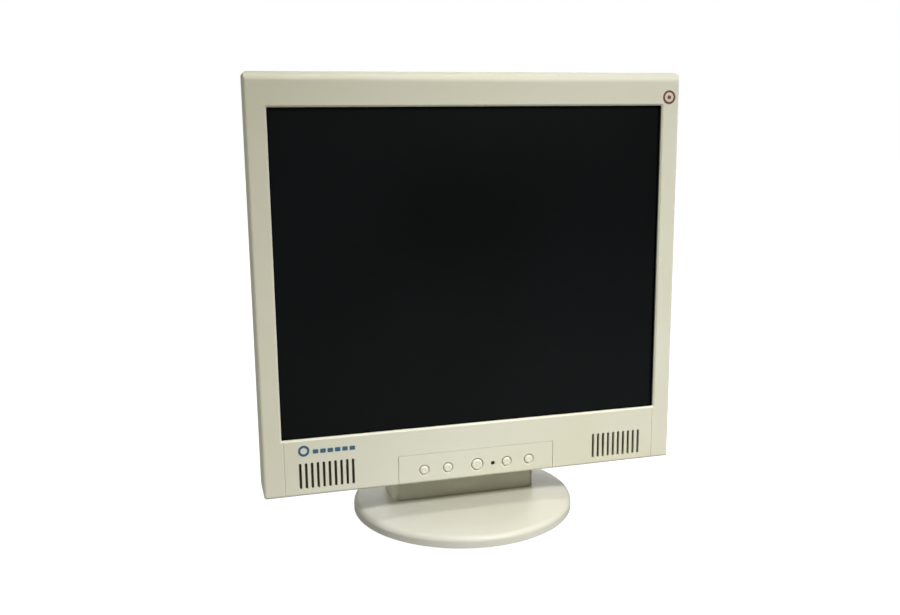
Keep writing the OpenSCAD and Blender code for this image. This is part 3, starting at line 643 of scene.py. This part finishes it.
# Front mark: a plain ring and a row of short bars, printed a little proud of the bezel.
RING_R = (4.8, 2.8)
BARS = 6
BAR_GAP = 1.6
BAR_RANGE = (7.5, 43.5)              # mm to the right of the ring's middle
BAR_HEIGHT = 3.6
BAR_CORNER = 0.6
BAR_DROP = 1.2                       # middle of the bars below that of the ring
CORNER_STEPS = 4


def rounded_bar(x0, x1, z0, z1, r, y):
    """Outline of a flat bar with round corners, at depth y, in metres."""
    left, right, bottom, top = x0 + r, x1 - r, z0 + r, z1 - r
    outline = []
    for cx, cz, first in ((right, top, 0), (left, top, 90), (left, bottom, 180), (right, bottom, 270)):
        for step in range(CORNER_STEPS + 1):
            a = math.radians(first + 90 * step / CORNER_STEPS)
            outline.append(Vector((cx + r * math.cos(a), y, cz + r * math.sin(a))))
    return outline


def add_front_mark():
    low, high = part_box("front_badge")
    ring_middle = Vector((low[0] + RING_R[0] * MM, high[1], (low[2] + high[2]) / 2))
    outer, inner = RING_R
    thick = (high[1] - low[1]) / MM
    mark = Shape()
    mark.turned(ring_profile(outer, inner, thick), ring_middle, FORWARD)
    pitch = (BAR_RANGE[1] - BAR_RANGE[0] + BAR_GAP) / BARS
    z = ring_middle.z - BAR_DROP * MM
    for k in range(BARS):
        x0 = ring_middle.x + (BAR_RANGE[0] + k * pitch) * MM
        x1 = x0 + (pitch - BAR_GAP) * MM
        edges = (x0, x1, z - BAR_HEIGHT / 2 * MM, z + BAR_HEIGHT / 2 * MM, BAR_CORNER * MM)
        mark.loft([rounded_bar(*edges, high[1]), rounded_bar(*edges, low[1])])
    mark.piece("front_mark", "head", "blue_print", replaces=["front_badge"])


add_front_mark()


# Rating plate on the back, left blank: a round-cornered plate ruled into empty fields.
PLATE_CORNER = 2.0
PLATE_INK_T = 0.04
RULE = 0.35                          # width of a ruled line
RULE_INSET = 1.6
RULE_GAP = 0.02                      # where an upright line stops short of a level one
RULE_ROWS = 4
RULE_SPLIT = 0.62                    # share of the width left of the upright rule


def add_rating_plate():
    low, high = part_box("rating_label")
    face = high[1] - PLATE_INK_T * MM
    plate = Shape()
    edges = (low[0], high[0], low[2], high[2], PLATE_CORNER * MM)
    plate.loft([rounded_bar(*edges, face), rounded_bar(*edges, low[1])])
    plate.piece("rating_plate", "head", "label_paper", replaces=["rating_label"])
    x0, x1 = low[0] + RULE_INSET * MM, high[0] - RULE_INSET * MM
    z0, z1 = low[2] + RULE_INSET * MM, high[2] - RULE_INSET * MM
    rule = RULE * MM
    gap = RULE_GAP * MM
    pitch = (z1 - z0 - rule) / RULE_ROWS
    lines = []
    for k in range(RULE_ROWS + 1):
        z = z0 + pitch * k
        lines.append((x0, x1, z, z + rule))
    for x in (x0, x0 + (x1 - x0) * RULE_SPLIT, x1 - rule):
        for k in range(RULE_ROWS):
            z = z0 + pitch * k
            lines.append((x, x + rule, z + rule + gap, z + pitch - gap))
    ink = Shape()
    for xa, xb, za, zb in lines:
        outline = [(xa, za), (xb, za), (xb, zb), (xa, zb)]
        ink.loft([[Vector((x, y, z)) for x, z in outline] for y in (face, high[1])])
    ink.piece("rating_plate_rules", "head", "black_plastic")


add_rating_plate()


# Screws of the rear cover: pan heads with a cross recess.
SCREW_HEAD_R = 3.0
SCREW_HEAD_T = 1.6
SCREW_R = 1.45
HEAD_DOME = 0.45                     # drop of the head from its middle to its rim
HEAD_RINGS = (0.1, 0.25, 0.42, 0.7, 1.0, 1.35, 1.75, 1.95, 2.4, 2.8, 3.0)
HEAD_SIDES = 64
CROSS_ARM = 0.43                     # half width of the recess
CROSS_REACH = 1.75
CROSS_DEPTH = 0.8
LOW_SCREWS_X = 92 * MM
NEAR_SCREW = 1.2 * SCREW_HEAD_R * MM


def screw_place(x, z):
    """Where a cover screw stands, and the two ends of its CAD solid in depth."""
    near = [v.co.y for v in NODES["rear_cover_screws"].data.vertices
            if math.hypot(v.co.x - x, v.co.z - z) < NEAR_SCREW]
    return x, z, max(near), min(near)


def screw_head_ring(top, r):
    """One ring of points over a screw's head, sunk where it crosses the recess."""
    ring = []
    for k in range(HEAD_SIDES):
        a = 2 * math.pi * k / HEAD_SIDES
        px, pz = r * math.cos(a), r * math.sin(a)
        in_cross = min(abs(px), abs(pz)) <= CROSS_ARM and r <= CROSS_REACH
        depth = HEAD_DOME * (r / SCREW_HEAD_R) ** 2 + (CROSS_DEPTH if in_cross else 0)
        ring.append(top + Vector((px, -depth, pz)) * MM)
    return ring


def add_cover_screws():
    """Four screws found from the outer corners of their CAD piece."""
    low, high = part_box("rear_cover_screws")
    top_x = high[0] - SCREW_HEAD_R * MM
    top_z = high[2] - SCREW_HEAD_R * MM
    low_z = low[2] + SCREW_HEAD_R * MM
    places = []
    for side in (-1, 1):
        places.append(screw_place(side * top_x, top_z))
        places.append(screw_place(side * LOW_SCREWS_X, low_z))
    shank = SCREW_R / SCREW_HEAD_R
    screws = Shape()
    for x, z, back, front in places:
        top = Vector((x, back, z))
        rings = [screw_head_ring(top, r) for r in HEAD_RINGS]
        under = back - SCREW_HEAD_T * MM
        rim = rings[-1]
        rings.append([Vector((v.x, under, v.z)) for v in rim])
        rings.append([Vector((x + (v.x - x) * shank, under, z + (v.z - z) * shank)) for v in rim])
        rings.append([Vector((v.x, front, v.z)) for v in rings[-1]])
        screws.loft(rings)
    screws.piece("rear_cover_screw_heads", "head", "screw_steel", replaces=["rear_cover_screws"],
                 crease=30)


add_cover_screws()


# Video socket: three rows of contacts and two hexagonal nuts.
CONTACT_PITCH = 2.29
CONTACTS_IN_ROW = 5
ROW_PITCH = 1.98
CONTACT_R = (0.62, 0.40)
CONTACT_T = 0.12
NUT_SPREAD = 12.5
NUT_R = 2.7
NUT_BORE_R = 1.3
NUT_DEPTH = 2.6
NUT_CHAMFER = 0.3
SHELL_REACH = 5.0                    # mm from the socket's flange to the end of its shell
INSERT_BACK = 1.2                    # mm from the end of the shell to the insert
SHELL_END = 0.5                      # mm of the shell's open end that is enough to find its middle
MIDDLE_ROW_SHIFT = -0.25             # in contact pitches


def add_video_contacts():
    """Found from the open end of the socket's shell, which is its lowest part."""
    low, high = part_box("video_connector")
    shell = [v.co.y for v in NODES["video_connector"].data.vertices
             if v.co.z < low[2] + SHELL_END * MM]
    middle = Vector(((low[0] + high[0]) / 2, (min(shell) + max(shell)) / 2, low[2]))
    outer, inner = CONTACT_R
    sleeves = Shape()
    for row in (-1, 0, 1):
        shift = MIDDLE_ROW_SHIFT if row == 0 else 0.0
        for k in range(CONTACTS_IN_ROW):
            across = (k - (CONTACTS_IN_ROW - 1) / 2 + shift) * CONTACT_PITCH
            place = middle + Vector((across, row * ROW_PITCH, INSERT_BACK)) * MM
            sleeves.turned(ring_profile(outer, inner, CONTACT_T), place, DOWN, sides=16)
    sleeves.piece("video_contacts", "head", "brass")
    nuts = Shape()
    for side in (-1, 1):
        place = middle + Vector((side * NUT_SPREAD, 0, SHELL_REACH)) * MM
        nuts.turned([(NUT_BORE_R, 0), (NUT_BORE_R, NUT_DEPTH), (NUT_R - NUT_CHAMFER, NUT_DEPTH),
                     (NUT_R, NUT_DEPTH - NUT_CHAMFER), (NUT_R, 0), (NUT_BORE_R, 0)],
                    place, DOWN, sides=6)
    nuts.piece("video_nuts", "head", "screw_steel", crease=20)


add_video_contacts()
